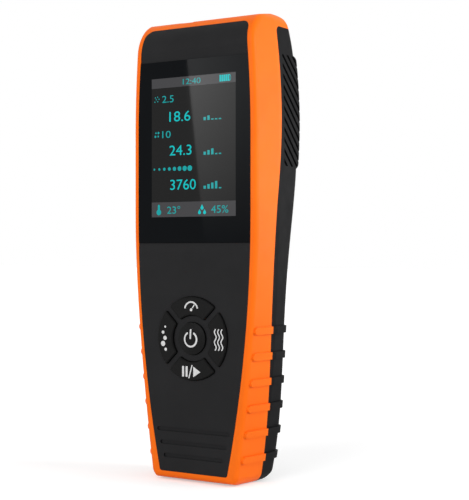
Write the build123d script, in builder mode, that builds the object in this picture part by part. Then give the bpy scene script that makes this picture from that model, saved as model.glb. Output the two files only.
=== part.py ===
from build123d import *
import os
from math import cos, radians, sin

os.makedirs("parts", exist_ok=True)

# Hand-held airborne particle counter. Millimetres, +Z up, display facing -Y,
# origin on the ground under the middle of the body.

# ---- driving dimensions: casing ----
height = 232.0
front_y = -21.0  # flat front face
wall = 2.1
shoulder_z = 172.0  # sides are upright between shoulder and waist
waist_z = 132.0
mid_y = -1.0  # widest section, near the part line
front_half = 36.6  # half widths of the front, middle and rear sections
mid_half = 37.2
rear_half = 36.6
thigh_z = 90.0  # the lower sides are curves, pulled at these two heights
calf_z = 31.0
front_tapers = (7.7, 13.3)  # how much narrower each section is at the calf and under the foot
mid_tapers = (3.0, 12.6)
rear_tapers = (2.9, 12.4)
top_taper = 4.0  # and over the top
overshoot = 10.0  # the sections run past the foot and the top, to be trimmed
back_line = ((232, 13.5), (212, 19.3), (190, 20.6), (155, 20.2), (116, 13.6), (80, 10.8), (40, 12.6), (0, 12.2))
top_corner_r = 8.0
bottom_corner_r = 6.0
rear_corner_r = 5.0
inner_chamfer = 2.0
rear_limit_y = 9.1  # the edges round the back all lie behind this
front_edge_r = 2.6
brow_z = 213.4  # the front starts to lean back here
brow_drop = 3.4  # how far under the top the brow ends
brow_depth = 9.0
ridge_y = 7.0  # highest line of the casing
bevel_slope = 0.55  # the top falls this much per millimetre behind the ridge
foot_front_y = -12.0
foot_back_y = 4.0
toe_rise = 1.8
heel_rise = 6.0
heel_y = 11.0

# ---- part line between the two shells, seen from the side ----
seam_top_z = 224.7
seam_corner_r = 3.0
seam_shoulder_y = 0.3
seam_line = ((195, 1.9), (158, 0.7), (138, -2.1), (100, -4.9), (56, -3.7), (-10, -1.5))

# ---- front panel, lens and display ----
panel_half = 33.4
panel_foot_taper = 13.5
panel_top_taper = 2.9
panel_gap = 0.12
panel_flange = 0.4
flange_thickness = 1.2
panel_top_z = 225.2
panel_bottom_z = 4.6
panel_top_r = 4.5
panel_bottom_r = 1.2
panel_rear_y = -13.0  # the panel's leaning top stops here
lens_top_z = 208.4
lens_bottom_z = 118.1
lens_thickness = 1.5
lens_gap = 0.1
tape_thickness = 0.3
ramp_height = 4.8
ramp_depth = 0.6
display_half_width = 27.4
display_bottom_z = 127.4
display_top_z = 203.2
display_thickness = 2.4
display_corner_r = 0.8
window_gap = 0.2

# ---- keypad ----
keypad_z = 71.0
key_outer_r = 20.5
key_inner_r = 11.5
spoke_width = 3.2
key_gap = 0.3
key_raise = 1.5
power_r = 7.9
power_raise = 2.2
key_flange = 0.8
key_flange_thickness = 0.9
key_corner_r = 0.8
key_edge = 0.5
power_dome = 1.2  # how far the round key's face bulges

# ---- finger slots, grip ribs ----
slot_height = 2.0
slot_depth = 0.8
slot_rows = ((25.4, 21.7), (18.9, 19.8), (12.4, 17.7))  # height above ground, half length
rib_count = 6
rib_top_z = 75.5
rib_pitch = 12.55
rib_height = 3.5
rib_proud = 1.1
rib_front_y = -18.6
rib_inner_x = 18.0

# ---- inner parts ----
board_front_y = -11.0
board_thickness = 1.6
board_clearance = 1.2
post_r = 2.3
post_places = ((-30.0, 195.0), (30.0, 195.0), (-30.0, 134.0), (30.0, 134.0), (-18.5, 38.0), (18.5, 38.0))
board_low_z = 24.0
board_high_z = 222.0
board_screw_r = 0.9
board_screw_head_r = 1.9
board_screw_head_height = 1.3
board_screw_grip = 4.0
boss_r = 3.6
boss_places = ((-30.6, 215.5), (30.6, 215.5), (-27.0, 31.5), (27.0, 31.5))
boss_front_y = -8.6
boss_meet_y = -3.0
case_screw_r = 1.25
case_screw_head_r = 2.2
case_screw_head_height = 1.6
case_screw_grip = 4.6
screw_floor = 2.4
screw_gap = 0.15
screw_cross_length = 2.6
screw_cross_width = 0.6
switch_size = 6.0
switch_height = 2.4
plunger_r = 1.7
plunger_proud = 0.9
plunger_hidden = 1.4
plunger_gap = 0.05
port_x = -9.8
port_width = 9.6
port_depth = 5.4
port_r = 2.3
socket_width = 8.9
socket_thickness = 3.2
socket_length = 7.4
socket_wall = 0.35
socket_r = 1.5
socket_floor = 1.0
tongue_width = 6.5
tongue_thickness = 0.7
notch_gap = 0.1
socket_below_top = 2.4

battery_size = (48.0, 8.0, 70.0)
battery_low_z = 48.0
battery_edge_r = 1.5
battery_back_y = 6.2
battery_pad_thickness = 0.8
cradle_x = 14.0
cradle_width = 2.0
sensor_size = (39.0, 12.3, 46.0)
sensor_low_z = 160.0
sensor_front_y = 3.5
sensor_cover_thickness = 1.2
sensor_corner_r = 1.5
rail_x = 12.0
fan_z = 190.0
fan_pocket_r = 10.5
fan_pocket_depth = 7.0
fan_r = 9.8
fan_hub_r = 4.2
fan_shaft_r = 1.0
fan_bore_gap = 0.05
fan_thickness = 5.0
fan_stand = 0.8
fan_blades = 7
fan_blade_thickness = 0.9
fan_blade_turn = 25.0
fan_blade_root = 0.6
fan_cover_lip = 1.0
laser_r = 3.0
laser_length = 16.0
laser_z = 169.0
buzzer_r = 6.0
buzzer_thickness = 3.2
buzzer_place = (18.0, 150.0)
gas_can_r = 8.0
gas_can_thickness = 6.5
gas_can_place = (-16.0, 146.0)
humidity_size = (3.0, 1.0, 3.0)
humidity_place = (24.0, 206.0)
flex_width = 14.0
flex_thickness = 0.25
flex_plug = (16.0, 1.4, 4.0)
flex_plug_z = 120.0
flex_stuck_low = 2.0  # the flex is stuck to the display between these two heights over its foot
flex_stuck_high = 8.0
filter_thickness = 0.8
filter_low_z = 157.4
filter_high_z = 209.6
filter_front_y = 2.6
filter_back_y = 18.4
filter_inner_x = 21.0

# ---- rear chamber, louvres ----
chamber_low_z = 154.6
chamber_high_z = 212.4
chamber_back_line = ((212.4, 20.6), (192, 22.2), (173, 22.2), (154.6, 20.5))
chamber_front_y = 12.0
chamber_edge_r = 2.6
chamber_end_r = 3.6
pad_half_width = 20.0
pad_low_z = 160.0
pad_high_z = 206.0
pad_corner_r = 3.0
pad_chamfer = 0.7
louvres_below = 11  # starting along the side
louvres_above = 3  # starting along the window's top edge
louvre_pitch = 5.25
louvre_open = 2.1
louvre_top_z = 211.2
louvre_front_y = 4.6
louvre_low_z = 156.0
louvre_high_z = 211.3
louvre_inner_x = 31.5

reach = 60.0  # half the length of cutters that pass right through
half_depth = 23.2
touch = 0.01


def section(plane, half, tapers, inset):
    """One upright section of the casing, drawn past the foot and the top."""
    middle = half - inset
    calf, low = middle - tapers[0], middle - tapers[1]
    high = middle - top_taper
    with BuildSketch(plane) as sketch:
        with BuildLine():
            for side in (1, -1):
                thigh = (side * middle, thigh_z)
                Bezier((side * middle, waist_z), thigh, (side * calf, calf_z), (side * low, -overshoot))
                Line((side * middle, waist_z), (side * middle, shoulder_z))
                TangentArc((side * middle, shoulder_z), (side * high, height + overshoot), tangent=(0, 1))
            Line((-low, -overshoot), (low, -overshoot))
            Line((-high, height + overshoot), (high, height + overshoot))
        make_face()
    return sketch.sketch


def front_line(inset):
    """The line of foot, toe, face, brow and crown, seen from the side, as a closed trimming outline."""
    face_y = front_y + inset
    back_limit = half_depth + overshoot
    ridge_z = height - inset
    with BuildSketch(Plane.YZ.offset(-reach)) as sketch:
        with BuildLine():
            foot = Line((foot_front_y, inset), (foot_back_y, inset))
            toe = TangentArc(foot @ 0, (face_y, inset + toe_rise), tangent=(-1, 0))
            face = Line(toe @ 1, (face_y, brow_z))
            brow_end = (front_y + brow_depth, height - brow_drop - inset)
            brow = TangentArc(face @ 1, brow_end, tangent=(0, 1))
            crown = Line(brow @ 1, (ridge_y, ridge_z))
            bevel_end = (back_limit, ridge_z - bevel_slope * (back_limit - ridge_y))
            bevel = Line(crown @ 1, bevel_end)
            behind = Line(bevel @ 1, (back_limit, inset + heel_rise + back_limit - heel_y))
            heel = Line(behind @ 1, (heel_y, inset + heel_rise))
            Line(heel @ 1, foot @ 1)
        make_face()
    return sketch.sketch


def casing(inset):
    """The outer form of the casing, moved inwards by inset."""
    face_y = front_y + inset
    with BuildPart() as form:
        sections = [
            section(Plane.XZ.offset(1 - front_y), front_half, front_tapers, inset),
            section(Plane.XZ.offset(-mid_y), mid_half, mid_tapers, inset),
            section(Plane.XZ.offset(-half_depth - 2), rear_half, rear_tapers, inset),
        ]
        loft(sections=sections, ruled=True)
        with BuildSketch(Plane.YZ.offset(-reach)):
            with BuildLine():
                top, *middle, foot = [(y - inset, z) for z, y in back_line]
                back = Spline((top[0], height - inset), *middle, (foot[0], inset))
                Polyline(back @ 1, (face_y, inset), (face_y, height - inset), back @ 0)
            make_face()
        extrude(amount=2 * reach, mode=Mode.INTERSECT)
        corners = form.edges().filter_by(lambda e: e.bounding_box().size.Z < 1 and e.bounding_box().size.X < 3)
        fillet(corners.filter_by(lambda e: e.center().Z > waist_z), top_corner_r - inset)
        corners = form.edges().filter_by(lambda e: e.bounding_box().size.Z < 1 and e.bounding_box().size.X < 3)
        fillet(corners.filter_by(lambda e: e.center().Z < waist_z), bottom_corner_r - inset)
        rear_loop = form.edges().filter_by(lambda e: e.bounding_box().min.Y > rear_limit_y - inset)
        if inset > 0:
            chamfer(rear_loop, inner_chamfer)
        else:
            fillet(rear_loop, rear_corner_r - inset)
        extrude(front_line(inset), amount=2 * reach, mode=Mode.INTERSECT)
        if inset == 0:
            fillet(front_edges(form, inset), front_edge_r)
    return form.part


def front_edges(form, inset):
    """The edges round the front face, and up both sides of the brow."""
    face_y = front_y + inset
    brow_end_y = front_y + brow_depth
    found = []
    for edge in form.edges():
        box = edge.bounding_box()
        level = box.size.Z < touch
        on_face = box.max.Y < face_y + touch and not (level and box.min.Z > waist_z)
        on_brow = box.min.Z > brow_z - touch and box.max.Y < brow_end_y + touch
        across = box.size.X > pad_half_width
        if on_face or (on_brow and not across and box.size.Y > touch):
            found.append(edge)
    return found


def behind_seam():
    """Everything behind the part line, as a solid as wide as the cutters."""
    with BuildPart() as region:
        with BuildSketch(Plane.YZ.offset(-reach)):
            with BuildLine():
                lid = Line((reach, seam_top_z), (seam_shoulder_y + seam_corner_r, seam_top_z))
                corner = TangentArc(lid @ 1, (seam_shoulder_y, seam_top_z - seam_corner_r), tangent=(-1, 0))
                fall = Spline(corner @ 1, *[(y, z) for z, y in seam_line])
                Polyline(fall @ 1, (reach, -overshoot), lid @ 0)
            make_face()
        extrude(amount=2 * reach)
    return region.part


def panel_outline(y, grow, low, high):
    """The front panel's outline between two heights, drawn at depth y and grown all round."""
    with BuildSketch(Plane.XZ.offset(-y)) as sketch:
        with BuildLine():
            for side in (1, -1):
                hip = (side * panel_half, waist_z)
                chest = (side * panel_half, shoulder_z)
                TangentArc(hip, (side * (panel_half - panel_foot_taper), panel_bottom_z), tangent=(0, -1))
                Line(hip, chest)
                TangentArc(chest, (side * (panel_half - panel_top_taper), panel_top_z), tangent=(0, 1))
            for z, taper in ((panel_bottom_z, panel_foot_taper), (panel_top_z, panel_top_taper)):
                Line((taper - panel_half, z), (panel_half - taper, z))
        make_face()
        fillet(sketch.vertices().group_by(Axis.Y)[-1], panel_top_r)
        fillet(sketch.vertices().group_by(Axis.Y)[0], panel_bottom_r)
        if grow:
            offset(amount=grow)
        with Locations((0, (low + high) / 2)):
            Rectangle(3 * panel_half, high - low, mode=Mode.INTERSECT)
    return sketch.sketch


# ---- the casing's nested forms, and its outside with the grip ribs round both sides ----
outer_form = casing(0)
inner_form = casing(wall)
rear_region = behind_seam()

with BuildPart() as ribbed_form:
    with BuildSketch(Plane.YZ.offset(-reach)):
        for row in range(rib_count):
            with Locations((rib_front_y + reach / 2, rib_top_z - row * rib_pitch)):
                SlotOverall(reach, rib_height)
    extrude(amount=2 * reach)
    with BuildSketch(Plane.XZ.offset(reach)):
        Rectangle(2 * rib_inner_x, 3 * height)
    extrude(amount=-2 * reach, mode=Mode.SUBTRACT)
    add(casing(-rib_proud), mode=Mode.INTERSECT)
    add(outer_form)

# ---- front bezel: orange rim, sides and crown ----
with BuildPart() as front_bosses:
    with BuildSketch(Plane.XZ.offset(-boss_meet_y)):
        with Locations(*boss_places):
            Circle(boss_r)
    extrude(amount=boss_meet_y - boss_front_y)
    add(outer_form, mode=Mode.INTERSECT)

with BuildPart() as front_bezel:
    add(ribbed_form.part)
    add(inner_form, mode=Mode.SUBTRACT)
    add(front_bosses.part)
    add(rear_region, mode=Mode.SUBTRACT)
    extrude(panel_outline(panel_rear_y, panel_gap, 0, height), amount=reach, mode=Mode.SUBTRACT)
    with BuildSketch(Plane.XZ.offset(-boss_meet_y)):
        with Locations(*boss_places):
            Circle(case_screw_r)
    extrude(amount=case_screw_grip, mode=Mode.SUBTRACT)
    with BuildSketch(Plane.XY.offset(seam_top_z)):
        with Locations((port_x, board_front_y + board_thickness / 2)):
            RectangleRounded(port_width, port_depth, port_r)
    extrude(amount=height, mode=Mode.SUBTRACT)
front_bezel.part.label = "front_bezel"
export_step(front_bezel.part, "parts/front_bezel.step")

# ---- front panel: flush in the bezel, with a flange behind the rim ----
panel_thickness = wall + flange_thickness
panel_back_y = front_y + panel_thickness
lens_floor_y = front_y + lens_thickness + tape_thickness
window_width = 2 * (display_half_width + window_gap)
window_height = display_top_z - display_bottom_z + 2 * window_gap
display_middle_z = (display_top_z + display_bottom_z) / 2
key_ring_middle = (key_outer_r + key_inner_r) / 2


def key_sector(y, turn, grow):
    """One of the four arc keys, drawn at depth y, turned from straight up and grown all round."""
    start = spoke_width / 2 / sin(radians(45))
    with BuildSketch(Plane.XZ.offset(-y)) as sketch:
        Circle(key_outer_r)
        Circle(key_inner_r, mode=Mode.SUBTRACT)
        with BuildLine():
            Polyline((0, start), (reach, start + reach), (-reach, start + reach), close=True)
        make_face(mode=Mode.INTERSECT)
        fillet(sketch.vertices(), key_corner_r)
        if grow:
            offset(amount=grow)
    placed = sketch.sketch.rotate(Axis((0, 0, 0), (0, -1, 0)), -turn)
    return placed.moved(Location((0, 0, keypad_z)))


def round_key(y, grow):
    """The round power key, drawn at depth y and grown all round."""
    with BuildSketch(Plane.XZ.offset(-y)) as sketch:
        with Locations((0, keypad_z)):
            Circle(power_r + grow)
    return sketch.sketch


key_turns = {"up": 0, "right": 90, "down": 180, "left": 270}

with BuildPart() as front_panel:
    extrude(panel_outline(panel_rear_y, 0, 0, height), amount=reach)
    extrude(front_line(0), amount=2 * reach, mode=Mode.INTERSECT)
    extrude(front_line(panel_thickness), amount=2 * reach, mode=Mode.SUBTRACT)
    flange = panel_outline(panel_back_y, panel_flange, 0, brow_z - 1)
    extrude(flange, amount=flange_thickness)
    with BuildSketch(Plane.XZ.offset(-board_front_y)):
        with Locations(*post_places):
            Circle(post_r)
    extrude(amount=board_front_y - panel_back_y)
    with BuildSketch(Plane.XZ.offset(-board_front_y)):
        with Locations(*post_places):
            Circle(board_screw_r)
    extrude(amount=board_screw_grip, mode=Mode.SUBTRACT)
    pocket = panel_outline(lens_floor_y, panel_flange, lens_bottom_z - lens_gap, lens_top_z + lens_gap)
    extrude(pocket, amount=reach, mode=Mode.SUBTRACT)
    with BuildSketch(Plane.YZ.offset(-reach)):
        for edge_z, way in ((lens_top_z + lens_gap, 1), (lens_bottom_z - lens_gap, -1)):
            far_z = edge_z + way * (ramp_height - lens_gap)
            with BuildLine():
                Polyline(
                    (front_y - ramp_depth, edge_z),
                    (front_y + ramp_depth, edge_z),
                    (front_y, far_z),
                    (front_y - ramp_depth, far_z),
                    close=True,
                )
            make_face()
    extrude(amount=2 * reach, mode=Mode.SUBTRACT)
    with BuildSketch(Plane.XZ.offset(-panel_back_y)):
        with Locations((0, display_middle_z)):
            Rectangle(window_width, window_height)
    extrude(amount=reach, mode=Mode.SUBTRACT)
    for turn in key_turns.values():
        extrude(key_sector(panel_back_y, turn, key_gap), amount=reach, mode=Mode.SUBTRACT)
    extrude(round_key(panel_back_y, key_gap), amount=reach, mode=Mode.SUBTRACT)
    with BuildSketch(Plane.XZ.offset(-front_y)):
        for z, half_length in slot_rows:
            with Locations((0, z)):
                SlotOverall(2 * half_length, slot_height)
    extrude(amount=-slot_depth, mode=Mode.SUBTRACT)
front_panel.part.label = "front_panel"
export_step(front_panel.part, "parts/front_panel.step")

# ---- display lens, its tape and the display behind it ----
lens_back_y = front_y + lens_thickness
with BuildPart() as display_lens:
    extrude(panel_outline(lens_back_y, 0, lens_bottom_z, lens_top_z), amount=lens_thickness)
display_lens.part.label = "display_lens"
export_step(display_lens.part, "parts/display_lens.step")

with BuildPart() as lens_tape:
    extrude(panel_outline(lens_floor_y, -lens_gap, lens_bottom_z, lens_top_z), amount=tape_thickness)
    with BuildSketch(Plane.XZ.offset(-lens_floor_y)):
        with Locations((0, display_middle_z)):
            Rectangle(window_width, window_height)
    extrude(amount=tape_thickness, mode=Mode.SUBTRACT)
lens_tape.part.label = "lens_tape"
export_step(lens_tape.part, "parts/lens_tape.step")

with BuildPart() as display_module:
    with BuildSketch(Plane.XZ.offset(-lens_back_y)):
        with Locations((0, display_middle_z)):
            RectangleRounded(2 * display_half_width, display_top_z - display_bottom_z, display_corner_r)
    extrude(amount=-display_thickness)
display_module.part.label = "display_module"
export_step(display_module.part, "parts/display_module.step")

# ---- keys: caps in the panel, held by flanges behind it, each with a nib to its switch ----
switch_front_y = board_front_y - switch_height
plunger_front_y = switch_front_y - plunger_proud
flange_back_y = panel_back_y + key_flange_thickness
key_places = {"power": (0, keypad_z)}
for name, turn in key_turns.items():
    x = key_ring_middle * sin(radians(turn))
    z = keypad_z + key_ring_middle * cos(radians(turn))
    key_places[name] = (x, z)


def key_nib(place):
    """The round peg between a key's flange and its switch plunger."""
    with BuildPart() as nib:
        with BuildSketch(Plane.XZ.offset(-plunger_front_y)):
            with Locations(place):
                Circle(plunger_r)
        extrude(amount=plunger_front_y - flange_back_y)
    return nib.part


for name, turn in key_turns.items():
    with BuildPart() as key:
        extrude(key_sector(panel_back_y, turn, 0), amount=panel_thickness + key_raise)
        chamfer(key.edges().group_by(Axis.Y)[0], key_edge)
        extrude(key_sector(flange_back_y, turn, key_flange), amount=key_flange_thickness)
        add(key_nib(key_places[name]))
    key.part.label = f"key_{name}"
    export_step(key.part, f"parts/key_{name}.step")

with BuildPart() as key_power:
    extrude(round_key(panel_back_y, 0), amount=panel_thickness + power_raise)
    dome_r = (power_r**2 + power_dome**2) / 2 / power_dome
    with Locations((0, front_y - power_raise + dome_r, keypad_z)):
        Sphere(dome_r, mode=Mode.INTERSECT)
    extrude(round_key(flange_back_y, key_flange), amount=key_flange_thickness)
    add(key_nib(key_places["power"]))
key_power.part.label = "key_power"
export_step(key_power.part, "parts/key_power.step")


# ---- rear shell: black back with the louvred chamber ----
def rear_sides(inset):
    """The casing's two sides behind its widest section, running past the back."""
    with BuildPart() as form:
        sections = [
            section(Plane.XZ.offset(-mid_y), mid_half, mid_tapers, inset),
            section(Plane.XZ.offset(-half_depth - 2), rear_half, rear_tapers, inset),
        ]
        loft(sections=sections, ruled=True)
    return form.part


def chamber(inset):
    """The raised louvred chamber across the upper back, flush with the casing's sides."""
    low_z = chamber_low_z + inset
    high_z = chamber_high_z - inset
    with BuildPart() as block:
        add(rear_sides(inset))
        with BuildSketch(Plane.YZ.offset(-reach)) as profile:
            with BuildLine():
                top, *middle, foot = [(y - inset, z) for z, y in chamber_back_line]
                back = Spline((top[0], high_z), *middle, (foot[0], low_z))
                Polyline(back @ 1, (chamber_front_y, low_z), (chamber_front_y, high_z), back @ 0)
            make_face()
            fillet(profile.vertices().sort_by(Axis.X)[-2:], chamber_end_r - inset)
        extrude(amount=2 * reach, mode=Mode.INTERSECT)
        if inset == 0:
            rear_edges = block.edges().filter_by(lambda e: e.bounding_box().min.Y > chamber_front_y + 1)
            fillet(rear_edges.filter_by(lambda e: abs(e.center().X) > pad_half_width), chamber_edge_r)
    return block.part


def back_pad():
    """The flat raised field in the middle of the chamber."""
    with BuildPart() as pad:
        with BuildSketch(Plane.XZ.offset(-chamber_front_y)):
            with Locations((0, (pad_low_z + pad_high_z) / 2)):
                RectangleRounded(2 * pad_half_width, pad_high_z - pad_low_z, pad_corner_r)
        extrude(amount=chamber_front_y - half_depth)
        chamfer(pad.faces().sort_by(Axis.Y)[-1].edges(), pad_chamfer)
    return pad.part


def wall_rib(x, front, low_z, high_z, thickness):
    """An upright rib inside the back, later trimmed by the outer form."""
    with BuildPart() as rib:
        with BuildSketch(Plane.XZ.offset(-front)):
            with Locations((x, (low_z + high_z) / 2)):
                Rectangle(thickness, high_z - low_z)
        extrude(amount=-reach)
    return rib.part


pad_back_y = battery_back_y + battery_pad_thickness
sensor_back_y = sensor_front_y + sensor_size[1] + sensor_cover_thickness
screw_seat_y = boss_meet_y + screw_floor
rail_margin = 4.0

with BuildPart() as inside_back:
    with BuildSketch(Plane.XZ.offset(-boss_meet_y)):
        with Locations(*boss_places):
            Circle(boss_r)
    extrude(amount=-reach)
    for side in (1, -1):
        add(wall_rib(side * cradle_x, pad_back_y, battery_low_z, battery_low_z + battery_size[2], cradle_width))
        low, high = sensor_low_z + rail_margin, sensor_low_z + sensor_size[2] - rail_margin
        add(wall_rib(side * rail_x, sensor_back_y, low, high, cradle_width))

with BuildPart() as louvre_cuts:
    with BuildSketch(Plane.YZ.offset(-reach)):
        for row in range(-louvres_above, louvres_below):
            start_z = louvre_top_z - row * louvre_pitch
            upper, lower = start_z + louvre_open / 2, start_z - louvre_open / 2
            with BuildLine():
                Polyline(
                    (louvre_front_y, upper),
                    (louvre_front_y, lower),
                    (louvre_front_y + reach, lower - reach),
                    (louvre_front_y + reach, upper - reach),
                    close=True,
                )
            make_face()
        with Locations((0, (louvre_low_z + louvre_high_z) / 2)):
            Rectangle(4 * reach, louvre_high_z - louvre_low_z, mode=Mode.INTERSECT)
    extrude(amount=2 * reach)
    with BuildSketch(Plane.XZ.offset(reach)):
        with Locations((0, shoulder_z)):
            Rectangle(2 * louvre_inner_x, height)
    extrude(amount=-2 * reach, mode=Mode.SUBTRACT)

with BuildPart() as rear_solid:
    add(ribbed_form.part)
    add([chamber(0), back_pad()])
    add(rear_region, mode=Mode.INTERSECT)

with BuildPart() as rear_shell:
    add(rear_solid.part)
    add([inner_form, chamber(wall)], mode=Mode.SUBTRACT)
    add(louvre_cuts.part, mode=Mode.SUBTRACT)
    add(inside_back.part & rear_solid.part)
    with BuildSketch(Plane.XZ.offset(-boss_meet_y)):
        with Locations(*boss_places):
            Circle(case_screw_r + screw_gap)
    extrude(amount=-reach, mode=Mode.SUBTRACT)
    with BuildSketch(Plane.XZ.offset(-screw_seat_y)):
        with Locations(*boss_places):
            Circle(case_screw_head_r + screw_gap)
    extrude(amount=-reach, mode=Mode.SUBTRACT)
rear_shell.part.label = "rear_shell"
export_step(rear_shell.part, "parts/rear_shell.step")

# ---- dust filters behind the louvres ----
for name, side in (("left", -1), ("right", 1)):
    with BuildPart() as vent_filter:
        with BuildSketch(Plane.XZ.offset(-filter_front_y)):
            with Locations((side * (filter_inner_x + reach / 2), (filter_low_z + filter_high_z) / 2)):
                Rectangle(reach, filter_high_z - filter_low_z)
        extrude(amount=filter_front_y - filter_back_y)
        add(rear_sides(wall), mode=Mode.INTERSECT)
        add(rear_sides(wall + filter_thickness), mode=Mode.SUBTRACT)
    vent_filter.part.label = f"vent_filter_{name}"
    export_step(vent_filter.part, f"parts/vent_filter_{name}.step")

# ---- main board, with its screws, switches and socket ----
board_back_y = board_front_y + board_thickness
board_middle_y = board_front_y + board_thickness / 2
crown_z = height - brow_drop
socket_top_z = crown_z - socket_below_top
socket_low_z = socket_top_z - socket_length

with BuildPart() as main_board:
    extrude(panel_outline(board_back_y, -board_clearance, board_low_z, board_high_z), amount=board_thickness)
    with BuildSketch(Plane.XZ.offset(-board_back_y)):
        with Locations(*post_places):
            Circle(board_screw_r + screw_gap)
        with Locations((port_x, socket_low_z + reach / 2)):
            Rectangle(socket_width + 2 * notch_gap, reach)
    extrude(amount=board_thickness, mode=Mode.SUBTRACT)
main_board.part.label = "main_board"
export_step(main_board.part, "parts/main_board.step")

with BuildPart() as board_screws:
    with BuildSketch(Plane.XZ.offset(-board_back_y)):
        with Locations(*post_places):
            Circle(board_screw_head_r)
    extrude(amount=-board_screw_head_height)
    with BuildSketch(Plane.XZ.offset(-board_back_y)):
        with Locations(*post_places):
            Circle(board_screw_r)
    extrude(amount=board_thickness + board_screw_grip)
board_screws.part.label = "board_screws"
export_step(board_screws.part, "parts/board_screws.step")

with BuildPart() as key_switches:
    with BuildSketch(Plane.XZ.offset(-board_front_y)):
        with Locations(*key_places.values()):
            Rectangle(switch_size, switch_size)
            Circle(plunger_r + plunger_gap, mode=Mode.SUBTRACT)
    extrude(amount=switch_height)
key_switches.part.label = "key_switches"
export_step(key_switches.part, "parts/key_switches.step")

for name, place in key_places.items():
    with BuildPart() as plunger:
        with BuildSketch(Plane.XZ.offset(-plunger_front_y)):
            with Locations(place):
                Circle(plunger_r)
        extrude(amount=-(plunger_proud + plunger_hidden))
    plunger.part.label = f"plunger_{name}"
    export_step(plunger.part, f"parts/plunger_{name}.step")

with BuildPart() as usb_socket:
    with BuildSketch(Plane.XY.offset(socket_low_z)):
        with Locations((port_x, board_middle_y)):
            RectangleRounded(socket_width, socket_thickness, socket_r)
    extrude(amount=socket_length)
    with BuildSketch(Plane.XY.offset(socket_low_z + socket_floor)):
        with Locations((port_x, board_middle_y)):
            RectangleRounded(
                socket_width - 2 * socket_wall,
                socket_thickness - 2 * socket_wall,
                socket_r - socket_wall,
            )
            Rectangle(tongue_width, tongue_thickness, mode=Mode.SUBTRACT)
    extrude(amount=socket_length, mode=Mode.SUBTRACT)
usb_socket.part.label = "usb_socket"
export_step(usb_socket.part, "parts/usb_socket.step")

with BuildPart() as flex_connector:
    with Locations((0, board_front_y - flex_plug[1] / 2, flex_plug_z)):
        Box(*flex_plug)
flex_connector.part.label = "flex_connector"
export_step(flex_connector.part, "parts/flex_connector.step")

flex_start_y = lens_back_y + display_thickness
flex_end_y = board_front_y - flex_plug[1]
with BuildPart() as display_flex:
    with BuildSketch(Plane.YZ.offset(-flex_width / 2)):
        with BuildLine() as flex_line:
            stuck = Line(
                (flex_start_y + flex_thickness / 2, display_bottom_z + flex_stuck_high),
                (flex_start_y + flex_thickness / 2, display_bottom_z + flex_stuck_low),
            )
            landing = (flex_end_y - flex_thickness / 2, flex_plug_z + flex_plug[2] / 2)
            start = stuck @ 1
            halfway = ((start.X + landing[0]) / 2, (start.Y + landing[1]) / 2)
            bend = TangentArc(stuck @ 1, halfway, tangent=(0, -1))
            fold = TangentArc(bend @ 1, landing, tangent=bend % 1)
            Line(fold @ 1, (landing[0], flex_plug_z - flex_plug[2] / 2))
        trace(line_width=flex_thickness)
    extrude(amount=flex_width)
display_flex.part.label = "display_flex"
export_step(display_flex.part, "parts/display_flex.step")

with BuildPart() as buzzer:
    with BuildSketch(Plane.XZ.offset(-board_back_y)):
        with Locations(buzzer_place):
            Circle(buzzer_r)
    extrude(amount=-buzzer_thickness)
    with BuildSketch(Plane.XZ.offset(-board_back_y - buzzer_thickness)):
        with Locations(buzzer_place):
            Circle(buzzer_r / 6)
    extrude(amount=buzzer_thickness / 2, mode=Mode.SUBTRACT)
buzzer.part.label = "buzzer"
export_step(buzzer.part, "parts/buzzer.step")

with BuildPart() as gas_sensor:
    with BuildSketch(Plane.XZ.offset(-board_back_y)):
        with Locations(gas_can_place):
            Circle(gas_can_r)
    extrude(amount=-gas_can_thickness)
    with BuildSketch(Plane.XZ.offset(-board_back_y - gas_can_thickness)):
        with Locations(gas_can_place):
            Circle(gas_can_r / 2)
    extrude(amount=gas_can_thickness / 6, mode=Mode.SUBTRACT)
gas_sensor.part.label = "gas_sensor"
export_step(gas_sensor.part, "parts/gas_sensor.step")

with BuildPart() as humidity_sensor:
    with Locations((humidity_place[0], board_back_y + humidity_size[1] / 2, humidity_place[1])):
        Box(*humidity_size)
humidity_sensor.part.label = "humidity_sensor"
export_step(humidity_sensor.part, "parts/humidity_sensor.step")

# ---- particle sensor: case, cover, laser and fan ----
sensor_middle_z = sensor_low_z + sensor_size[2] / 2
sensor_case_back_y = sensor_front_y + sensor_size[1]
fan_floor_y = sensor_case_back_y - fan_pocket_depth
laser_floor_y = fan_floor_y - 1
with BuildPart() as sensor_case:
    with BuildSketch(Plane.XZ.offset(-sensor_front_y)):
        with Locations((0, sensor_middle_z)):
            RectangleRounded(sensor_size[0], sensor_size[2], sensor_corner_r)
    extrude(amount=-sensor_size[1])
    with BuildSketch(Plane.XZ.offset(-fan_floor_y)):
        with Locations((0, fan_z)):
            Circle(fan_pocket_r)
    extrude(amount=-fan_pocket_depth, mode=Mode.SUBTRACT)
    with BuildSketch(Plane.XZ.offset(-laser_floor_y)):
        with Locations((0, laser_z)):
            Rectangle(sensor_size[0] - 4 * wall, 4 * laser_r)
    extrude(amount=laser_floor_y - sensor_case_back_y, mode=Mode.SUBTRACT)
sensor_case.part.label = "sensor_case"
export_step(sensor_case.part, "parts/sensor_case.step")

with BuildPart() as sensor_cover:
    with BuildSketch(Plane.XZ.offset(-sensor_case_back_y)):
        with Locations((0, sensor_middle_z)):
            RectangleRounded(sensor_size[0], sensor_size[2], sensor_corner_r)
        with Locations((0, fan_z)):
            Circle(fan_pocket_r - fan_cover_lip, mode=Mode.SUBTRACT)
    extrude(amount=-sensor_cover_thickness)
sensor_cover.part.label = "sensor_cover"
export_step(sensor_cover.part, "parts/sensor_cover.step")

with BuildPart() as laser_module:
    with BuildSketch(Plane.YZ.offset(-laser_length / 2)):
        with Locations((laser_floor_y + laser_r, laser_z)):
            Circle(laser_r)
    extrude(amount=laser_length)
laser_module.part.label = "laser_module"
export_step(laser_module.part, "parts/laser_module.step")

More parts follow.
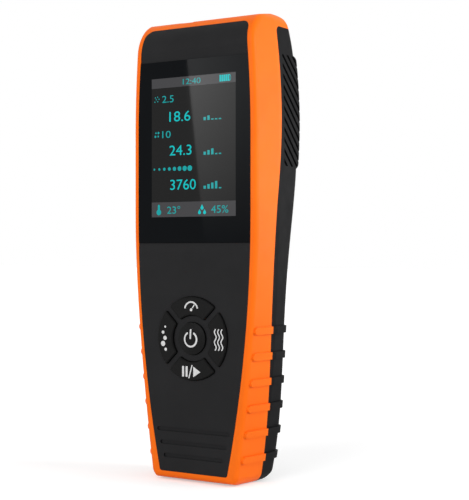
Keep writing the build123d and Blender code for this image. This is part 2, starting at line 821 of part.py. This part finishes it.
rotor_front_y = fan_floor_y + fan_stand
with BuildPart() as fan_shaft:
    with BuildSketch(Plane.XZ.offset(-fan_floor_y)):
        with Locations((0, fan_z)):
            Circle(2 * fan_shaft_r)
    extrude(amount=-fan_stand + fan_bore_gap)
    with BuildSketch(Plane.XZ.offset(-fan_floor_y)):
        with Locations((0, fan_z)):
            Circle(fan_shaft_r)
    extrude(amount=-fan_stand - fan_thickness)
fan_shaft.part.label = "fan_shaft"
export_step(fan_shaft.part, "parts/fan_shaft.step")

with BuildPart() as fan_rotor:
    with BuildSketch(Plane.XZ.offset(-rotor_front_y)):
        with Locations((0, fan_z)):
            Circle(fan_hub_r)
            Circle(fan_shaft_r + fan_bore_gap, mode=Mode.SUBTRACT)
    extrude(amount=-fan_thickness)
    blade_length = fan_r - fan_hub_r + fan_blade_root
    with BuildSketch(Plane.XZ.offset(-rotor_front_y)):
        with Locations((0, fan_z)):
            with PolarLocations(fan_hub_r - fan_blade_root + blade_length / 2, fan_blades):
                Rectangle(blade_length, fan_blade_thickness, rotation=fan_blade_turn)
        with Locations((0, fan_z)):
            Circle(fan_shaft_r + fan_bore_gap, mode=Mode.SUBTRACT)
    extrude(amount=-fan_thickness)
fan_rotor.part.label = "fan_rotor"
export_step(fan_rotor.part, "parts/fan_rotor.step")

# ---- battery, its pad, and the casing screws ----
with BuildPart() as battery_pack:
    middle = (0, battery_back_y - battery_size[1] / 2, battery_low_z + battery_size[2] / 2)
    with Locations(middle):
        Box(*battery_size)
    fillet(battery_pack.edges().filter_by(Axis.Z), battery_edge_r)
battery_pack.part.label = "battery_pack"
export_step(battery_pack.part, "parts/battery_pack.step")

with BuildPart() as battery_pad:
    with BuildSketch(Plane.XZ.offset(-battery_back_y)):
        with Locations((0, battery_low_z + battery_size[2] / 2)):
            Rectangle(battery_size[0] - 2 * battery_edge_r, battery_size[2] - 2 * battery_edge_r)
    extrude(amount=-battery_pad_thickness)
battery_pad.part.label = "battery_pad"
export_step(battery_pad.part, "parts/battery_pad.step")

with BuildPart() as case_screws:
    with BuildSketch(Plane.XZ.offset(-screw_seat_y)):
        with Locations(*boss_places):
            Circle(case_screw_head_r)
    extrude(amount=-case_screw_head_height)
    with BuildSketch(Plane.XZ.offset(-screw_seat_y - case_screw_head_height)):
        with Locations(*boss_places):
            Rectangle(screw_cross_length, screw_cross_width)
            Rectangle(screw_cross_width, screw_cross_length)
    extrude(amount=case_screw_head_height / 2, mode=Mode.SUBTRACT)
    with BuildSketch(Plane.XZ.offset(-screw_seat_y)):
        with Locations(*boss_places):
            Circle(case_screw_r)
    extrude(amount=screw_floor + case_screw_grip)
case_screws.part.label = "case_screws"
export_step(case_screws.part, "parts/case_screws.step")
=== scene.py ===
"""Looks of the hand-held particle counter: finishes, display, key marks, floor, light and camera."""

import math

import bmesh
import bpy
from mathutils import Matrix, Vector


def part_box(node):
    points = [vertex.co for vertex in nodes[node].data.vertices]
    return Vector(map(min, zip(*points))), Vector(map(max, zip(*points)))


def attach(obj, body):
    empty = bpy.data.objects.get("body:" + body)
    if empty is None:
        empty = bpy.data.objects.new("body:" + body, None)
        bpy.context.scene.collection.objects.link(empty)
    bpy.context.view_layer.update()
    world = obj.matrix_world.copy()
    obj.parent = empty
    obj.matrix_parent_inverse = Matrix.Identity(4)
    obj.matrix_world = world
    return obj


MM = 0.001
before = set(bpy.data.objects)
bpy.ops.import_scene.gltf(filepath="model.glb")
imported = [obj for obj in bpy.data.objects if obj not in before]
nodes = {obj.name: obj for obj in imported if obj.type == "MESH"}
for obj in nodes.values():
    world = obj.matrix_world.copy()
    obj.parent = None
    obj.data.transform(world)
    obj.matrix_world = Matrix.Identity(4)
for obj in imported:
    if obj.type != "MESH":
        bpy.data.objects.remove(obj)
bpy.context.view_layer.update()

# ---- places read from the frame, in metres ----
LENS_FACE_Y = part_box("display_lens")[0].y
POWER_LOW, POWER_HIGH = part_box("key_power")

# ---- the display's lit area and its rows ----
SCREEN_HALF_WIDTH = 25.1 * MM
SCREEN_BOTTOM_Z = 130.9 * MM
SCREEN_TOP_Z = 200.1 * MM
TOP_BAR = 4.8 * MM
BOTTOM_BAR = 7.4 * MM
FILM = 0.02 * MM  # thickness of a printed or lit mark
LIFT = 0.015 * MM  # how far a mark stands off what it lies on
LABEL_HEIGHT = 3.4 * MM
SIGNS_LEFT = -23.5 * MM  # where the signs of the rows start

# ---- round key in the middle of the key ring, and how far from it the other keys' signs are ----
POWER_FACE_Y = POWER_LOW.y
POWER_MIDDLE_Z = (POWER_LOW.z + POWER_HIGH.z) / 2
DOME_RADIUS = 26.6 * MM
GAUGE_RISE = 14.2 * MM
DUST_SHIFT = -16.3 * MM
VAPOUR_SHIFT = 16.2 * MM
PLAY_DROP = 16.2 * MM

# ---- grain of the materials, in noise cells a metre ----
CLOUD_SCALE = 38.0
WEAR_SCALE = 160.0
GRAIN_DEPTH = 0.02 * MM
PIXEL_PITCH = 0.11 * MM

# ---- camera and light, in metres and watts ----
CAMERA_PLACE = (0.3517, -0.525, 0.1145)
CAMERA_TURN_DEG = 33.0
CAMERA_LENS_MM = 90.0
SENSOR_WIDTH_MM = 36.0
WORLD_LEVEL = 0.5
LAMPS = (  # name, place, aim, size, power, spread in degrees
    ("key_light", (-0.05, -1.15, 0.55), (0, 0, 0.12), (0.7, 0.7), 6.4, 180),
    ("side_light", (0.55, 0.1, 0.33), (0, 0, 0.2), (0.3, 0.3), 0.42, 65),
    ("rear_light", (0.55, 0.8, 0.2), (0, 0, 0.12), (0.5, 0.36), 1.5, 180),
)

# ---- floor: its own glow, for the camera only; weak about the object's foot, which paints shade there, and full on the open floor ----
FLOOR_HALF = 6.0
FLOOR_DROP = 0.2 * MM
FLOOR_FADE = (0.1, 0.5)
FLOOR_GLOW = (0.43, 0.75)

# ---- white card that the lens mirrors, in metres and emission strength ----
CARD_Y = -1.3
CARD_EDGE = ((-0.8753, 0.1923), (-0.905, 0.446))  # (x, z) of two points on its slanted edge
CARD_WIDTH = 0.16
CARD_FOOT_Z = -0.2
CARD_TOP_Z = 0.75
CARD_FADE_X = (-0.891, -0.784)  # it is brightest at the slanted edge
CARD_LEVELS_X = (4.7, 2.6)
CARD_FADE_Z = (0.13, 0.4)  # and fades towards the foot
CARD_LEVELS_Z = (0.03, 1.1)
CARD_LEAST = 0.95  # nowhere darker than the white room about it


def linear(value):
    """One sRGB channel, 0 to 255, as scene-linear light."""
    share = value / 255
    return share / 12.92 if share <= 0.04045 else ((share + 0.055) / 1.055) ** 2.4


def colour(red, green, blue):
    return (linear(red), linear(green), linear(blue), 1.0)


# ---- materials ----
class Nodes:
    """Short names for building one node material."""

    def __init__(self, name):
        self.material = bpy.data.materials.new(name)
        self.material.use_nodes = True
        self.tree = self.material.node_tree
        self.shader = self.tree.nodes["Principled BSDF"]

    def add(self, kind, **values):
        node = self.tree.nodes.new(kind)
        for key, value in values.items():
            setattr(node, key, value)
        return node

    def link(self, start, end):
        self.tree.links.new(start, end)

    def place(self):
        return self.add("ShaderNodeTexCoord").outputs["Object"]

    def noise(self, scale, detail=3.0, roughness=0.55):
        node = self.add("ShaderNodeTexNoise")
        node.inputs["Scale"].default_value = scale
        node.inputs["Detail"].default_value = detail
        node.inputs["Roughness"].default_value = roughness
        self.link(self.place(), node.inputs["Vector"])
        return node.outputs["Fac"]

    def ramp(self, factor, stops):
        node = self.add("ShaderNodeValToRGB")
        elements = node.color_ramp.elements
        while len(elements) < len(stops):
            elements.new(0.5)
        for element, (position, value) in zip(elements, stops):
            element.position = position
            element.color = value
        self.link(factor, node.inputs["Fac"])
        return node.outputs["Color"]

    def bump(self, height, strength, distance):
        node = self.add("ShaderNodeBump")
        node.inputs["Strength"].default_value = strength
        node.inputs["Distance"].default_value = distance
        self.link(height, node.inputs["Height"])
        self.link(node.outputs["Normal"], self.shader.inputs["Normal"])

    def set(self, **values):
        for key, value in values.items():
            self.shader.inputs[key.replace("_", " ")].default_value = value


def grey(value):
    return (value, value, value, 1.0)


def moulded_plastic(name, low, high, grain=2600.0, rough=(0.42, 0.55), specular=0.3, bump=0.25):
    """Moulded plastic: faint cloudiness in the colour, and the fine spark-eroded grain of the tool."""
    n = Nodes(name)
    n.link(n.ramp(n.noise(CLOUD_SCALE), ((0.3, low), (0.7, high))), n.shader.inputs["Base Color"])
    wear = n.noise(WEAR_SCALE, 4.0)
    n.link(n.ramp(wear, ((0.3, grey(rough[0])), (0.7, grey(rough[1])))), n.shader.inputs["Roughness"])
    n.bump(n.noise(grain, 2.0, 0.5), bump, GRAIN_DEPTH)
    n.set(Specular_IOR_Level=specular)
    return n.material


def metal(name, base, rough, grain=900.0):
    """Plated or pressed metal with a slightly uneven polish."""
    n = Nodes(name)
    n.set(Metallic=1.0)
    tones = ((0.3, base), (0.7, grey(base[0] * 1.15)))
    polish = ((0.3, grey(rough)), (0.7, grey(rough + 0.12)))
    n.link(n.ramp(n.noise(220.0), tones), n.shader.inputs["Base Color"])
    n.link(n.ramp(n.noise(grain), polish), n.shader.inputs["Roughness"])
    return n.material


def lens_material():
    """Black-backed acrylic: nearly perfect polish with the faintest orange peel and dust haze."""
    n = Nodes("lens_acrylic")
    tones = ((0.3, colour(8, 10, 13)), (0.7, colour(10, 13, 16)))
    polish = ((0.35, grey(0.018)), (0.8, grey(0.04)))
    n.link(n.ramp(n.noise(30.0), tones), n.shader.inputs["Base Color"])
    n.link(n.ramp(n.noise(420.0, 5.0), polish), n.shader.inputs["Roughness"])
    n.bump(n.noise(55.0, 1.0), 0.02, 0.05 * MM)
    n.set(Specular_IOR_Level=0.05)
    return n.material


def pixel_material(name, base, glow, strength):
    """A lit field of the display: a fine pixel grid that shows close up, under the lens's polish."""
    n = Nodes(name)
    checker = n.add("ShaderNodeTexChecker")
    checker.inputs["Scale"].default_value = 1 / PIXEL_PITCH
    n.link(n.place(), checker.inputs["Vector"])
    checker.inputs["Color1"].default_value = base
    checker.inputs["Color2"].default_value = tuple(channel * 0.86 for channel in base[:3]) + (1.0,)
    n.link(checker.outputs["Color"], n.shader.inputs["Base Color"])
    n.set(Roughness=0.025, Specular_IOR_Level=0.13, Emission_Color=glow, Emission_Strength=strength)
    return n.material


def print_material(name, base):
    """Screen-printed ink on a key: slightly uneven cover and a soft matt surface."""
    n = Nodes(name)
    thin = tuple(channel * 0.9 for channel in base[:3]) + (1.0,)
    n.link(n.ramp(n.noise(900.0, 4.0), ((0.35, thin), (0.65, base))), n.shader.inputs["Base Color"])
    n.set(Roughness=0.6, Specular_IOR_Level=0.25)
    return n.material


ORANGE = moulded_plastic(
    "orange_plastic", colour(249, 109, 18), colour(253, 115, 22), rough=(0.38, 0.48), specular=0.08
)
SHELL_BLACK = moulded_plastic(
    "black_shell_plastic", colour(25, 25, 26), colour(29, 29, 30), specular=0.02
)
PANEL_BLACK = moulded_plastic(
    "panel_plastic", colour(33, 33, 34), colour(37, 37, 38), grain=3200.0, specular=0.06
)
KEY_BLACK = moulded_plastic(
    "key_plastic", colour(19, 19, 19), colour(23, 23, 23), grain=3600.0, specular=0.07
)
INNER_BLACK = moulded_plastic("inner_plastic", colour(30, 30, 30), colour(38, 38, 38), specular=0.3)
LENS = lens_material()
CYAN = pixel_material("display_cyan", colour(4, 176, 178), colour(4, 188, 190), 0.28)
CYAN_DIM = pixel_material("display_cyan_dim", colour(16, 150, 152), colour(16, 160, 162), 0.22)
SCREEN_DARK = pixel_material("display_dark", colour(25, 25, 25), colour(25, 25, 25), 0.0)
SCREEN_BAR = pixel_material("display_bar", colour(62, 62, 64), colour(62, 62, 64), 0.25)
KEY_PRINT = print_material("key_print", colour(222, 222, 222))

POLYIMIDE = moulded_plastic("polyimide_film", colour(160, 95, 30), colour(180, 110, 40), specular=0.5)
SOLDER_MASK = moulded_plastic(
    "solder_mask", colour(14, 70, 40), colour(18, 84, 48), rough=(0.25, 0.35), specular=0.5
)
SHRINK_FILM = moulded_plastic(
    "shrink_film", colour(30, 80, 150), colour(36, 92, 165), rough=(0.2, 0.3), specular=0.5
)
FILTER_MESH = moulded_plastic(
    "filter_mesh", colour(5, 5, 5), colour(12, 12, 12), grain=1400.0, specular=0.1, bump=1.0
)

FINISHES = {
    "front_bezel": ORANGE,
    "rear_shell": SHELL_BLACK,
    "front_panel": PANEL_BLACK,
    "display_lens": LENS,
    "lens_tape": INNER_BLACK,
    "display_module": INNER_BLACK,
    "display_flex": POLYIMIDE,
    "main_board": SOLDER_MASK,
    "key_switches": metal("switch_cover", grey(0.55), 0.3),
    "board_screws": metal("zinc_plate", grey(0.5), 0.32),
    "case_screws": metal("black_screw", grey(0.12), 0.4),
    "usb_socket": metal("socket_shell", grey(0.58), 0.25),
    "gas_sensor": metal("sensor_can", grey(0.6), 0.28),
    "sensor_cover": metal("cover_sheet", grey(0.6), 0.35),
    "laser_module": metal("laser_barrel", (0.75, 0.55, 0.25, 1.0), 0.3),
    "fan_shaft": metal("ground_shaft", grey(0.6), 0.2),
    "battery_pack": SHRINK_FILM,
    "battery_pad": INNER_BLACK,
    "vent_filter_left": FILTER_MESH,
    "vent_filter_right": FILTER_MESH,
}


def dress_cad_nodes():
    """What FINISHES does not name is key plastic if it is a key or plunger, and else inner plastic."""
    for name, node in nodes.items():
        finish = FINISHES.get(name, KEY_BLACK if name.startswith(("key_", "plunger_")) else INNER_BLACK)
        for slot in node.material_slots:
            slot.material = finish


# ---- flat marks: polygons in the XZ plane, thickened towards the viewer ----
def sheet(name, polygons, face_y, material, body, surface=None):
    """A thin plate from polygons [(x, z), ...] that share corners.

    It lies on the flat face at face_y or, with surface, on a curved face of depth surface(x, z).
    """
    form = bmesh.new()
    corners = {}
    for polygon in polygons:
        ring = []
        for x, z in polygon:
            key = (round(x, 8), round(z, 8))
            if key not in corners:
                y = surface(x, z) if surface else face_y
                corners[key] = form.verts.new((x, y - LIFT, z))
            ring.append(corners[key])
        form.faces.new(ring)
    grown = bmesh.ops.extrude_face_region(form, geom=form.faces[:])["geom"]
    lifted = [item for item in grown if isinstance(item, bmesh.types.BMVert)]
    bmesh.ops.translate(form, verts=lifted, vec=(0, -FILM, 0))
    bmesh.ops.recalc_face_normals(form, faces=form.faces)
    mesh = bpy.data.meshes.new(name)
    form.to_mesh(mesh)
    form.free()
    mesh.materials.append(material)
    piece = bpy.data.objects.new(name, mesh)
    bpy.context.scene.collection.objects.link(piece)
    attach(piece, body)


def rectangle(x_low, x_high, z_low, z_high):
    return [(x_low, z_low), (x_high, z_low), (x_high, z_high), (x_low, z_high)]


def arc(x, z, radius, start_deg, end_deg, steps):
    """Points along a round stretch, both ends included."""
    turns = [math.radians(start_deg + (end_deg - start_deg) * step / steps) for step in range(steps + 1)]
    return [(x + radius * math.cos(turn), z + radius * math.sin(turn)) for turn in turns]


def disc(x, z, radius, steps=24):
    return arc(x, z, radius, 0, 360, steps)[:-1]


def strip(left, right):
    """Quads between two runs of points."""
    return [[left[i], left[i + 1], right[i + 1], right[i]] for i in range(len(left) - 1)]


def arc_band(x, z, inner, outer, start_deg, end_deg, steps=28):
    """A band of a ring, as quads."""
    within, without = (arc(x, z, radius, start_deg, end_deg, steps) for radius in (inner, outer))
    return strip(within, without)


def ribbon(points, width):
    """A run of points as a stroke of even width with round ends."""
    left, right = [], []
    for index, (x, z) in enumerate(points):
        before, after = points[max(index - 1, 0)], points[min(index + 1, len(points) - 1)]
        run_x, run_z = after[0] - before[0], after[1] - before[1]
        length = math.hypot(run_x, run_z)
        across = (-run_z / length * width / 2, run_x / length * width / 2)
        left.append((x + across[0], z + across[1]))
        right.append((x - across[0], z - across[1]))
    polygons = strip(left, right)
    for (x, z), first in ((points[0], left[0]), (points[-1], right[-1])):
        start = math.degrees(math.atan2(first[1] - z, first[0] - x))
        polygons.append(arc(x, z, width / 2, start, start + 180, 8))
    return polygons


def figures(name, words, box, material, face_y):
    """Plain figures and signs, as a thin solid plate filling box (x_low, x_high, z_low, z_high)."""
    curve = bpy.data.curves.new(name, "FONT")
    curve.body = words
    curve.resolution_u = 4
    curve.extrude = 0.5
    text = bpy.data.objects.new(name + "_outline", curve)
    bpy.context.scene.collection.objects.link(text)
    bpy.context.view_layer.update()
    evaluated = text.evaluated_get(bpy.context.evaluated_depsgraph_get())
    mesh = bpy.data.meshes.new_from_object(evaluated)
    bpy.data.objects.remove(text)
    across = [vertex.co.x for vertex in mesh.vertices]
    upward = [vertex.co.y for vertex in mesh.vertices]
    x_low, x_high, z_low, z_high = box
    x_scale = (x_high - x_low) / (max(across) - min(across))
    z_scale = (z_high - z_low) / (max(upward) - min(upward))
    for vertex in mesh.vertices:
        x = x_low + (vertex.co.x - min(across)) * x_scale
        z = z_low + (vertex.co.y - min(upward)) * z_scale
        y = face_y - LIFT - FILM / 2 - vertex.co.z * FILM
        vertex.co = (x, y, z)
    mesh.name = name
    mesh.materials.clear()
    mesh.materials.append(material)
    piece = bpy.data.objects.new(name, mesh)
    bpy.context.scene.collection.objects.link(piece)
    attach(piece, "casing")


def in_mm(*values):
    return tuple(value * MM for value in values)


# ---- display ----
def battery_sign(x_low, x_high, z_low, z_high):
    """A full battery: five cells and a rounded nose."""
    cells, gap = 5, 0.22 * MM
    nose = 0.9 * MM
    cell = (x_high - nose - x_low) / cells
    starts = [x_low + index * cell for index in range(cells)]
    polygons = [rectangle(start, start + cell - gap, z_low, z_high) for start in starts]
    middle_z = (z_low + z_high) / 2
    half = (z_high - z_low) / 2
    nose_x = x_high - nose - gap
    ring = arc_band(nose_x, middle_z, half - 0.35 * MM, half, -90, 90, 12)
    squeeze = nose / half
    return polygons + [[(nose_x + (x - nose_x) * squeeze, z) for x, z in quad] for quad in ring]


def dust_sign(x, z, size, spots):
    """A cloud of round particles; spots are (across, up, radius) as shares of its size."""
    return [disc(x + across * size, z + up * size, radius * size, 14) for across, up, radius in spots]


def level_sign(x_low, x_high, z_low, z_high, filled):
    """Five rising bars, the filled ones whole and the others as a low foot."""
    bars = 5
    pitch = (x_high - x_low) / bars
    loops = []
    for index in range(bars):
        top = z_low + (z_high - z_low) * (0.35 + 0.65 * index / (bars - 1))
        if index >= filled:
            top = z_low + (z_high - z_low) * 0.14
        loops.append(rectangle(x_low + index * pitch, x_low + (index + 0.62) * pitch, z_low, top))
    return loops


def drop(x, z, size):
    """A water drop, point up, standing on (x, z)."""
    radius = 0.34 * size
    round_part = [
        (x + radius * math.cos(turn), z + radius + radius * math.sin(turn))
        for turn in (math.radians(155 + 230 * step / 16) for step in range(17))
    ]
    return round_part + [(x, z + size)]


def thermometer(x, z, bulb, stem, top_z):
    """A thermometer's outline: a bulb about (x, z) and a round-topped stem of half width stem."""
    neck = math.degrees(math.asin(stem / bulb))
    return arc(x, z, bulb, 90 + neck, 450 - neck, 20) + arc(x, top_z, stem, 0, 180, 10)


FINE_DUST = (
    (0.1, 0.2, 0.09),
    (0.35, 0.55, 0.09),
    (0.62, 0.25, 0.09),
    (0.85, 0.6, 0.09),
    (0.2, 0.82, 0.09),
    (0.6, 0.9, 0.09),
)
COARSE_DUST = ((0.2, 0.28, 0.17), (0.72, 0.3, 0.14), (0.3, 0.8, 0.13), (0.75, 0.8, 0.17))


def display():
    """The lit picture under the lens: two bars, a dark ground, and rows of signs and figures."""
    top_bar_z = SCREEN_TOP_Z - TOP_BAR
    bottom_bar_z = SCREEN_BOTTOM_Z + BOTTOM_BAR
    half = SCREEN_HALF_WIDTH
    ground = [rectangle(-half, half, bottom_bar_z, top_bar_z)]
    bars = [rectangle(-half, half, SCREEN_BOTTOM_Z, bottom_bar_z)]
    bars += [rectangle(-half, half, top_bar_z, SCREEN_TOP_Z)]
    sheet("screen_ground", ground, LENS_FACE_Y, SCREEN_DARK, "casing")
    sheet("screen_bars", bars, LENS_FACE_Y, SCREEN_BAR, "casing")
    marks_y = LENS_FACE_Y - LIFT - FILM

    for name, words, box, material in (
        ("screen_clock", "12:40", in_mm(-6.0, 4.6, 196.2, 199.0), CYAN_DIM),
        ("screen_size_fine", "2.5", in_mm(-18.6, -11.6, 187.9, 191.4), CYAN_DIM),
        ("screen_size_coarse", "10", in_mm(-18.6, -13.4, 170.3, 173.8), CYAN_DIM),
        ("screen_value_fine", "18.6", in_mm(-14.2, -1.5, 178.2, 183.2), CYAN),
        ("screen_value_coarse", "24.3", in_mm(-14.1, -0.8, 161.4, 166.4), CYAN),
        ("screen_value_count", "3760", in_mm(-13.7, 1.8, 144.3, 149.4), CYAN),
        ("screen_warmth", "23°", in_mm(-15.6, -7.6, 132.5, 136.3), CYAN_DIM),
        ("screen_damp", "45%", in_mm(10.9, 20.9, 132.5, 136.2), CYAN_DIM),
    ):
        figures(name, words, box, material, marks_y)

    size_row = []
    for step in range(8):
        size_row.append(disc(SIGNS_LEFT + step * 3.1 * MM, 154.8 * MM, (0.5 + 0.13 * step) * MM, 16))
    drops = [drop(*in_mm(*place)) for place in ((5.5, 134.2, 2.7), (4.0, 132.0, 2.5), (7.0, 132.0, 2.5))]
    for name, loops, material in (
        ("screen_battery", battery_sign(*in_mm(15.8, 22.6, 196.1, 199.3)), CYAN),
        ("screen_fine_dust", dust_sign(SIGNS_LEFT, 187.9 * MM, LABEL_HEIGHT, FINE_DUST), CYAN_DIM),
        ("screen_coarse_dust", dust_sign(SIGNS_LEFT, 170.3 * MM, LABEL_HEIGHT, COARSE_DUST), CYAN_DIM),
        ("screen_size_row", size_row, CYAN_DIM),
        ("screen_level_fine", level_sign(*in_mm(6.4, 17.6, 177.9, 182.2), 2), CYAN_DIM),
        ("screen_level_coarse", level_sign(*in_mm(6.4, 17.6, 161.0, 165.3), 3), CYAN_DIM),
        ("screen_level_count", level_sign(*in_mm(6.4, 17.6, 144.4, 148.7), 4), CYAN_DIM),
        ("screen_thermometer", [thermometer(*in_mm(-20.7, 133.3, 1.45, 0.65, 136.5))], CYAN_DIM),
        ("screen_drops", drops, CYAN),
    ):
        sheet(name, loops, marks_y, material, "casing")


# ---- key marks ----
def dome_y(x, z):
    """Depth of the round key's domed face."""
    away = x**2 + (z - POWER_MIDDLE_Z) ** 2
    return POWER_FACE_Y + DOME_RADIUS - math.sqrt(DOME_RADIUS**2 - away)


def key_marks():
    """On, level, dust, vapour and play signs, printed on the five keys."""
    key_face_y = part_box("key_up")[0].y
    ring_z = POWER_MIDDLE_Z

    power_z = ring_z - 0.3 * MM
    power = arc_band(0, power_z, 3.1 * MM, 4.0 * MM, 118, 422, 40)
    bar = [power_z + (0.2 + 1.2 * step) * MM for step in range(5)]
    power += strip([(-0.45 * MM, z) for z in bar], [(0.45 * MM, z) for z in bar])
    sheet("mark_power", power, 0, KEY_PRINT, "key_power", dome_y)

    gauge_z = ring_z + GAUGE_RISE
    gauge = arc_band(0, gauge_z, 3.4 * MM, 4.2 * MM, 10, 170, 24)
    gauge += ribbon([(0.8 * MM, gauge_z + 1.04 * MM), (1.8 * MM, gauge_z + 2.33 * MM)], 0.6 * MM)
    gauge += [disc(0, gauge_z, 0.75 * MM, 18)]
    sheet("mark_gauge", gauge, key_face_y, KEY_PRINT, "key_up")

    grains = ((0.6, 0.55), (-0.7, 0.8), (0.5, 1.05), (-0.7, 1.3), (0.9, 0.8))
    dust = []
    for step, (across, radius) in enumerate(grains):
        dust.append(disc(DUST_SHIFT + across * MM, ring_z + (5.4 - 2.8 * step) * MM, radius * MM, 20))
    sheet("mark_dust", dust, key_face_y, KEY_PRINT, "key_left")

    vapour = []
    for lane in (-1.9, 0, 1.9):
        wave = []
        for step in range(17):
            sway = lane + 0.55 * math.sin(step * math.pi / 4)
            wave.append((VAPOUR_SHIFT + sway * MM, ring_z + (step - 8) * 0.62 * MM))
        vapour += ribbon(wave, 0.62 * MM)
    sheet("mark_vapour", vapour, key_face_y, KEY_PRINT, "key_right")

    play_z = ring_z - PLAY_DROP
    half = 2.6 * MM
    play = [rectangle(-5.4 * MM, -4.2 * MM, play_z - half, play_z + half)]
    play += [rectangle(-3.3 * MM, -2.1 * MM, play_z - half, play_z + half)]
    play += ribbon([(-1.3 * MM, play_z - 3 * MM), (0.5 * MM, play_z + 3 * MM)], 0.65 * MM)
    play += [[(1.3 * MM, play_z - half), (5.5 * MM, play_z), (1.3 * MM, play_z + half)]]
    sheet("mark_play", play, key_face_y, KEY_PRINT, "key_down")


dress_cad_nodes()
display()
key_marks()


# ---- floor, light and camera ----
def seen_directly(tree):
    """1 for rays from the camera, off gloss and through glass, and 0 for light that spreads."""
    path = tree.nodes.new("ShaderNodeLightPath")
    seen = path.outputs["Is Camera Ray"]
    for kind in ("Is Glossy Ray", "Is Transmission Ray"):
        larger = tree.nodes.new("ShaderNodeMath")
        larger.operation = "MAXIMUM"
        tree.links.new(seen, larger.inputs[0])
        tree.links.new(path.outputs[kind], larger.inputs[1])
        seen = larger.outputs[0]
    return seen


def studio():
    """A white room to the camera and to gloss, and plain light on the object."""
    world = bpy.data.worlds.new("studio")
    bpy.context.scene.world = world
    world.use_nodes = True
    tree = world.node_tree
    back = tree.nodes["Background"]
    back.inputs["Color"].default_value = (1, 1, 1, 1)
    level = tree.nodes.new("ShaderNodeMapRange")
    level.inputs["To Min"].default_value = WORLD_LEVEL
    level.inputs["To Max"].default_value = 1.0
    tree.links.new(seen_directly(tree), level.inputs["Value"])
    tree.links.new(level.outputs["Result"], back.inputs["Strength"])


def area_light(name, place, aim, size, power, spread_deg):
    data = bpy.data.lights.new(name, "AREA")
    data.shape = "RECTANGLE"
    data.size, data.size_y = size
    data.energy = power
    data.spread = math.radians(spread_deg)
    lamp = bpy.data.objects.new(name, data)
    lamp.location = place
    lamp.rotation_euler = (Vector(aim) - Vector(place)).to_track_quat("-Z", "Y").to_euler()
    bpy.context.scene.collection.objects.link(lamp)


def floor():
    """White paper that keeps the object's shadow; its whitening glow is only seen, and lights nothing.
    The glow is weakest about the object's foot, which paints shade around it.
    """
    n = Nodes("floor_paper")
    n.link(n.ramp(n.noise(3.0), ((0.3, grey(0.8)), (0.7, grey(0.82)))), n.shader.inputs["Base Color"])
    n.set(Roughness=0.9, Specular_IOR_Level=0.1)
    # The glow grows with distance from the object: it is weaker about the foot, as painted shade, and
    # full on the open floor.
    away = n.add("ShaderNodeVectorMath", operation="LENGTH")
    n.link(n.place(), away.inputs[0])
    fade = n.add("ShaderNodeMapRange")
    fade.inputs["From Min"].default_value, fade.inputs["From Max"].default_value = FLOOR_FADE
    fade.inputs["To Min"].default_value, fade.inputs["To Max"].default_value = FLOOR_GLOW
    n.link(away.outputs["Value"], fade.inputs["Value"])
    glow = n.add("ShaderNodeEmission")
    n.link(fade.outputs["Result"], glow.inputs["Strength"])
    both = n.add("ShaderNodeAddShader")
    n.link(n.shader.outputs[0], both.inputs[0])
    n.link(glow.outputs[0], both.inputs[1])
    pick = n.add("ShaderNodeMixShader")
    n.link(seen_directly(n.tree), pick.inputs["Fac"])
    n.link(n.shader.outputs[0], pick.inputs[1])
    n.link(both.outputs[0], pick.inputs[2])
    n.link(pick.outputs[0], n.tree.nodes["Material Output"].inputs["Surface"])
    mesh = bpy.data.meshes.new("floor")
    half = FLOOR_HALF
    corners = [(-half, -half, 0), (half, -half, 0), (half, half, 0), (-half, half, 0)]
    mesh.from_pydata(corners, [], [(0, 1, 2, 3)])
    mesh.materials.append(n.material)
    piece = bpy.data.objects.new("floor", mesh)
    piece.location.z = -FLOOR_DROP
    bpy.context.scene.collection.objects.link(piece)


def reflector_card():
    """A white card beside the camera, seen only as the slanted sheen on the lens."""
    (low_x, low_z), (high_x, high_z) = CARD_EDGE
    lean = (high_x - low_x) / (high_z - low_z)
    corners = []
    for x_shift, z in rectangle(0, CARD_WIDTH, CARD_FOOT_Z, CARD_TOP_Z):
        corners.append((low_x + lean * (z - low_z) + x_shift, CARD_Y, z))
    mesh = bpy.data.meshes.new("reflector_card")
    mesh.from_pydata(corners, [], [(0, 1, 2, 3)])
    n = Nodes("card_white")
    split = n.add("ShaderNodeSeparateXYZ")
    n.link(n.place(), split.inputs[0])
    level = n.add("ShaderNodeMath", operation="MULTIPLY_ADD")
    level.inputs[2].default_value = CARD_LEAST
    fades = (("X", CARD_FADE_X, CARD_LEVELS_X), ("Z", CARD_FADE_Z, CARD_LEVELS_Z))
    for socket, (axis, fade_from, fade_to) in enumerate(fades):
        fade = n.add("ShaderNodeMapRange")
        fade.inputs["From Min"].default_value, fade.inputs["From Max"].default_value = fade_from
        fade.inputs["To Min"].default_value, fade.inputs["To Max"].default_value = fade_to
        n.link(split.outputs[axis], fade.inputs["Value"])
        n.link(fade.outputs["Result"], level.inputs[socket])
    glow = n.add("ShaderNodeEmission")
    n.link(level.outputs[0], glow.inputs["Strength"])
    n.link(glow.outputs[0], n.tree.nodes["Material Output"].inputs["Surface"])
    mesh.materials.append(n.material)
    card = bpy.data.objects.new("reflector_card", mesh)
    card.visible_camera = False
    card.visible_diffuse = False
    card.visible_shadow = False
    bpy.context.scene.collection.objects.link(card)


def camera():
    data = bpy.data.cameras.new("camera")
    data.lens = CAMERA_LENS_MM
    data.sensor_width = SENSOR_WIDTH_MM
    data.clip_start = 0.01
    place = bpy.data.objects.new("camera", data)
    place.location = CAMERA_PLACE
    place.rotation_euler = (math.radians(90), 0, math.radians(CAMERA_TURN_DEG))
    bpy.context.scene.collection.objects.link(place)
    bpy.context.scene.camera = place


studio()
floor()
reflector_card()
for lamp in LAMPS:
    area_light(*lamp)
camera()

bpy.context.scene.view_settings.view_transform = "Standard"
